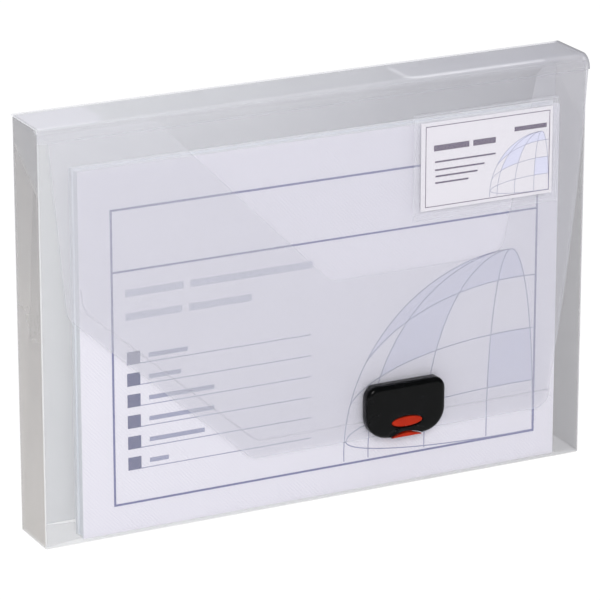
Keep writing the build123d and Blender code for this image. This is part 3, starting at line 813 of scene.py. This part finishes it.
red_abs = moulded_plastic("moulded ABS, red", "#B0290F", "#A2230B", 0.30)
lock_low, lock_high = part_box("lock_cover")
lock_x = (lock_low.x + lock_high.x) * 500
lock_foot, lock_head = lock_low.z * 1000, lock_high.z * 1000
lock_front, lock_back = lock_low.y * 1000, lock_high.y * 1000
lock_half = (lock_high.x - lock_low.x) * 500
oval_z = lock_foot + 9.0
low_radius, high_radius = 14.0, 7.0
notch_half, notch_rise = 11.0, 2.8
notch_radius = (notch_half**2 + notch_rise**2) / (2 * notch_rise)
notch_z = lock_foot + notch_rise - notch_radius


def within_cover(x, z, inset):
    """Whether a point lies inside the cover's outline, moved inwards by inset."""
    half, foot, head = lock_half - inset, lock_foot + inset, lock_head - inset
    if abs(x) > half or not foot < z < head or math.hypot(x, z - notch_z) < notch_radius + inset:
        return False
    low, high = low_radius - inset, high_radius - inset
    for radius, middle_z, side in ((low, foot + low, -1), (high, head - high, 1)):
        past_x = abs(x) - (half - radius)
        if (z - middle_z) * side > 0 and past_x > 0 and math.hypot(past_x, z - middle_z) > radius:
            return False
    return True


def outline_reach(way, inset):
    """How far the outline lies from the oval's middle, found by halving."""
    near, far = 0.0, 60.0
    for _ in range(26):
        half_way = (near + far) / 2
        if within_cover(way.x * half_way, oval_z + way.y * half_way, inset):
            near = half_way
        else:
            far = half_way
    return near


def oval_reach(way, half_width, half_height):
    """How far an oval's edge lies from its middle."""
    return 1 / math.hypot(way.x / half_width, way.y / half_height)


def ring_loop(rings):
    """Closed rings of equal length joined one to the next, and the last to the first."""
    size, count = len(rings[0]), len(rings)
    faces = []
    for i in range(count):
        here, there = i * size, (i + 1) % count * size
        for k in range(size):
            on = (k + 1) % size
            faces.append((here + k, here + on, there + on, there + k))
    return [corner for ring in rings for corner in ring], faces


def capped(rings):
    """Closed rings of equal length with their two ends filled."""
    corners, faces = ring_loop(rings)
    size = len(rings[0])
    faces = faces[: (len(rings) - 1) * size]
    faces.append(tuple(range(size)))
    faces.append(tuple(range((len(rings) - 1) * size, len(rings) * size)))
    return corners, faces


# The cover is a stack of rings round the oval. Its rim is rounded over 3.4 mm of the face and 2.6 mm of the
# depth, or 0.8 mm of both round the notch, and the face is crowned by 0.35 mm
wall, crown = 1.2, 0.35
outer_rim, notch_rim = (3.4, 2.6), (0.8, 0.8)
around = [math.radians(2.5 * k) for k in range(144)]
ways = [Vector((math.cos(angle), math.sin(angle))) for angle in around]
in_notch = [way.y < 0 and abs(way.x) < -way.y * notch_half / (oval_z - lock_foot) for way in ways]
behind = [lock_front + wall if inside else lock_back for inside in in_notch]
rims = [notch_rim if inside else outer_rim for inside in in_notch]


def cover_ring(insets, depths):
    """One ring of the cover, at its own inset and depth in each direction."""
    reaches = [outline_reach(way, inset) for way, inset in zip(ways, insets)]
    return [
        (lock_x + way.x * reach, depth, oval_z + way.y * reach)
        for way, reach, depth in zip(ways, reaches, depths)
    ]


rings = [cover_ring([0.0] * len(ways), behind)]
for step in range(7):
    turn = math.radians(15 * step)
    rings.append(
        cover_ring(
            [across * (1 - math.cos(turn)) for across, _ in rims],
            [lock_front + crown + deep * (1 - math.sin(turn)) for _, deep in rims],
        )
    )
window = [oval_reach(way, 10.0, 3.4) for way in ways]
window_rim = 0.35
for share in (0.2, 0.45, 0.7):
    ring = []
    for way, rim, edge in zip(ways, rims, window):
        outer = outline_reach(way, rim[0])
        reach = outer + (edge + window_rim - outer) * share
        ring.append((lock_x + way.x * reach, lock_front + crown * (1 - share) ** 2, oval_z + way.y * reach))
    rings.append(ring)
for margin, depth in ((window_rim, 0.0), (0.1, 0.1), (0.0, window_rim), (0.0, wall)):
    rings.append(
        [
            (lock_x + way.x * (edge + margin), lock_front + depth, oval_z + way.y * (edge + margin))
            for way, edge in zip(ways, window)
        ]
    )
# The hollow side: its corner is rounded too, and it ends at the wall's inner foot
rings.append(cover_ring([1.2 if n else 2.8 for n in in_notch], [lock_front + wall] * len(ways)))
inner_corner = [lock_front + (wall if n else 2.7) for n in in_notch]
rings.append(cover_ring([0.8 if n else wall for n in in_notch], inner_corner))
rings.append(cover_ring([0.4 if n else wall for n in in_notch], behind))
cover_shell = ring_loop(rings)

full_turn = [math.radians(15 * k) for k in range(24)]
# Bosses and ears are sunk a little into the cover's face
inner_face = lock_front + wall - 0.05


def rivet_boss(x, z):
    """A hollow post that a rivet is pressed into."""
    outside, bore = 3.0, 1.55
    ends = ((outside, inner_face), (outside, lock_back), (bore, lock_back), (bore, inner_face))
    return ring_loop([[(x + r * math.cos(t), y, z + r * math.sin(t)) for t in full_turn] for r, y in ends])


pin_low, pin_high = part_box("lock_pivot_pin")
pin_y, pin_z = (pin_low.y + pin_high.y) * 500, (pin_low.z + pin_high.z) * 500


def pin_ear(near, far):
    """An ear with a round back that carries one end of the pin."""
    ear_radius, hole_radius = 1.3, 0.65
    to_face = pin_y - inner_face
    outer, inner = [], []
    for t in full_turn:
        back, up = math.cos(t), math.sin(t)
        reach = ear_radius
        if back < -0.01:
            reach = min(to_face / -back, ear_radius / max(abs(up), 0.01))
        outer.append((pin_y + back * reach, pin_z + up * reach))
        inner.append((pin_y + back * hole_radius, pin_z + up * hole_radius))
    sides = ((near, outer), (far, outer), (far, inner), (near, inner))
    return ring_loop([[(x, y, z) for y, z in outline] for x, outline in sides])


bosses = [rivet_boss(lock_x + side * 18.0, lock_foot + row) for side in (-1, 1) for row in (8.5, 27.0)]
pin_left, pin_right, ear_width = pin_low.x * 1000, pin_high.x * 1000, 2.0
ears = [pin_ear(pin_left, pin_left + ear_width), pin_ear(pin_right - ear_width, pin_right)]
cover = make_piece(
    "lock_cover_moulding", *joined(cover_shell, *bosses, *ears), black_abs, "flap", "black_moulding",
    smooth=True,
)
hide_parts("lock_cover")


def cushioned(outline, middle, half_size, back, edge, front):
    """A pad with a rounded rim and a slight crown: outline runs round its middle, from back to front."""
    pad_crown = 0.06
    layers = [(0.0, back), (0.0, edge)]
    rounding = edge - front - pad_crown
    for turn in (30, 60, 90):
        angle = math.radians(turn)
        layers.append((rounding * (1 - math.cos(angle)), edge - rounding * math.sin(angle)))
    layers += [(half_size[1] * 0.55, front + 0.02), (half_size[1] * 0.97, front)]
    rings = []
    for inset, y in layers:
        wide, high = 1 - inset / half_size[0], 1 - inset / half_size[1]
        rings.append([(lock_x + x * wide, y, middle + (z - middle) * high) for x, z in outline])
    return capped(rings)


# The thumb pad fills the window, and the lip below it fills the notch
pad_half = (9.62, 2.82)
pad_outline = [(pad_half[0] * way.x, oval_z + pad_half[1] * way.y) for way in ways[::2]]
pad_depths = (lock_front + 1.3, lock_front + 0.43, lock_front + 0.02)
make_piece(
    "thumb_pad", *cushioned(pad_outline, oval_z, pad_half, *pad_depths), red_abs, "button", "red_moulding",
    smooth=True,
)
# The gap to the notch lets the lip rock
lip_gap = 0.70
lip_radius = notch_radius - lip_gap
lip_foot = lock_foot - 0.06
lip_end = math.sqrt(lip_radius**2 - (lip_foot - notch_z) ** 2)
lip_arc = [lip_end * math.cos(math.radians(7.5 * i)) for i in range(25)]
lip_outline = [(x, notch_z + math.sqrt(lip_radius**2 - x**2)) for x in lip_arc]
lip_outline += [(-lip_end + 2 * lip_end * i / 12, lip_foot) for i in range(1, 12)]
lip_half = 0.85
lip_depths = (lock_front + 1.5, lock_front + 0.4, lock_front + 0.08)
make_piece(
    "button_lip", *cushioned(lip_outline, lock_foot + lip_half, (lip_end, lip_half), *lip_depths),
    red_abs, "button", "red_moulding", smooth=True,
)


def drawn_steel(name):
    """Bright drawn steel wire: fine lines along it, 0.05 mm apart, drawn at 0.4 mm."""
    material, tree = empty_material(name)
    place = add_node(tree, "TexCoord")
    along_wire = (150.0, 2500.0, 2500.0)
    stretch = add_node(tree, "Mapping", {"Vector": place.outputs["Object"], "Scale": along_wire})
    lines = add_node(tree, "TexNoise", {"Vector": stretch.outputs[0], "Scale": 1.0, "Detail": 1.0})
    gloss = add_node(tree, "MapRange", {"Value": lines.outputs["Fac"], "To Min": 0.18, "To Max": 0.36})
    tone = add_node(
        tree, "Mix", {0: lines.outputs["Fac"], 6: linear("#B4B5B8"), 7: linear("#CFD0D2")}, data_type="RGBA"
    )
    surface = add_node(
        tree, "BsdfPrincipled",
        {"Base Color": tone.outputs["Result"], "Metallic": 1.0, "Roughness": gloss.outputs[0]},
    )
    add_node(tree, "OutputMaterial", {"Surface": surface.outputs[0]})
    return material


dress(drawn_steel("drawn steel wire"), "lock_pivot_pin", "button_spring")
dress(black_abs, "lock_cover", "lock_backplate", "lock_rivets")
dress(red_abs, "lock_button")

# ## The studio
# A pale plain floor that runs out behind the object, a white surround and soft boxes, as for a catalogue
# picture. Floor and surround look evenly white to the camera, and light the object less than they seem to.


def plain_floor(name):
    """White studio board: dull, with a faint cloud, and lit from within so that no shade shows on it."""
    material, tree = empty_material(name)
    place = add_node(tree, "TexCoord")
    cloud = add_node(tree, "TexNoise", {"Vector": place.outputs["Object"], "Scale": 3.0})
    tone = add_node(
        tree, "Mix", {0: cloud.outputs["Fac"], 6: linear("#F6F6F7"), 7: linear("#FAFAFA")}, data_type="RGBA"
    )
    # To the eye it glows an even white and hardly reflects, but it lights the object as plain board does
    path = add_node(tree, "LightPath")
    glow = add_node(
        tree, "Math", {0: path.outputs["Is Camera Ray"], 1: 0.72, 2: 0.23}, operation="MULTIPLY_ADD"
    )
    tone = add_node(
        tree, "Mix", {0: path.outputs["Is Camera Ray"], 6: tone.outputs["Result"], 7: linear("#595959")},
        data_type="RGBA",
    )
    surface = add_node(
        tree, "BsdfPrincipled",
        {
            "Base Color": tone.outputs["Result"],
            "Roughness": 0.9,
            "Emission Color": linear("#FFFFFF"),
            "Emission Strength": glow.outputs[0],
        },
    )
    add_node(tree, "OutputMaterial", {"Surface": surface.outputs[0]})
    return material


floor_mesh = bpy.data.meshes.new("studio_floor")
floor_reach, floor_top = 6.0, -0.0002
quarters = ((-1, -1), (1, -1), (1, 1), (-1, 1))
floor_corners = [(x * floor_reach, y * floor_reach, floor_top) for x, y in quarters]
floor_mesh.from_pydata(floor_corners, [], [(0, 1, 2, 3)])
floor_mesh.materials.append(plain_floor("white studio board"))
floor = bpy.data.objects.new("studio_floor", floor_mesh)
bpy.context.scene.collection.objects.link(floor)

world = bpy.data.worlds.new("white surround")
world.use_nodes = True
bpy.context.scene.world = world
sky = world.node_tree
sky.nodes.clear()
# The ceiling of the surround is darker than its sides, and the camera sees it as plain white
seen = add_node(sky, "LightPath")
outward = add_node(sky, "TexCoord")
direction = add_node(sky, "SeparateXYZ", {0: outward.outputs["Generated"]})
ceiling = add_node(
    sky, "MapRange",
    {"Value": direction.outputs["Z"], "From Min": 0.1, "From Max": 0.9, "To Min": 0.74, "To Max": 0.52},
)
# Flags behind the lamps keep the surround out of what gleams
flag = add_node(sky, "Math", {0: seen.outputs["Is Glossy Ray"], 1: -0.85, 2: 1.0}, operation="MULTIPLY_ADD")
flagged = add_node(sky, "Math", {0: ceiling.outputs[0], 1: flag.outputs[0]}, operation="MULTIPLY")
strength = add_node(
    sky, "Mix", {0: seen.outputs["Is Camera Ray"], 2: flagged.outputs[0], 3: 1.0}, data_type="FLOAT"
)
surround = add_node(sky, "Background", {"Color": linear("#FDFDFF"), "Strength": strength.outputs[0]})
add_node(sky, "OutputWorld", {"Surface": surround.outputs[0]})


def soft_box(name, place, aim, size, power, colour):
    """A rectangular lamp at a place, turned to what it lights. Places and sizes are in metres."""
    lamp = bpy.data.lights.new(name, "AREA")
    lamp.shape = "RECTANGLE"
    lamp.size, lamp.size_y = size
    lamp.energy = power
    lamp.color = linear(colour)[:3]
    box = bpy.data.objects.new(name, lamp)
    box.location = place
    box.rotation_euler = (Vector(aim) - Vector(place)).to_track_quat("-Z", "Y").to_euler()
    bpy.context.scene.collection.objects.link(box)


# The small lamp beside the key gives the lock its glint
soft_box("key_soft_box", (-0.6, -1.9, 1.3), (0, 0, 0.12), (0.8, 0.8), 19, "#FFFEFC")
soft_box("modelling_lamp", (-0.66, -1.88, 1.32), (0, 0, 0.12), (0.14, 0.14), 2.5, "#FFFEFC")
soft_box("back_soft_box", (-0.9, 1.7, 1.5), (0, 0, 0.2), (1.6, 1.0), 10, "#FFFFFF")

# The camera stands at the photo's angle, 2.2 m off with a long lens, where a fit to the box's corners and
# the sheet's put it
camera_data = bpy.data.cameras.new("camera")
camera_data.sensor_width = 36.0
camera_data.lens = 238.47
camera_data.clip_start = 0.1
camera_data.clip_end = 30.0
camera = bpy.data.objects.new("camera", camera_data)
camera.location = (-0.95142, -1.87703, 0.82237)
camera.rotation_euler = (math.radians(90 - 18.616), 0, math.radians(-26.773))
bpy.context.scene.collection.objects.link(camera)
bpy.context.scene.camera = camera
bpy.context.scene.view_settings.view_transform = "Standard"
# A ray may pass many clear sheets one behind the other
bpy.context.scene.cycles.transparent_max_bounces = 32
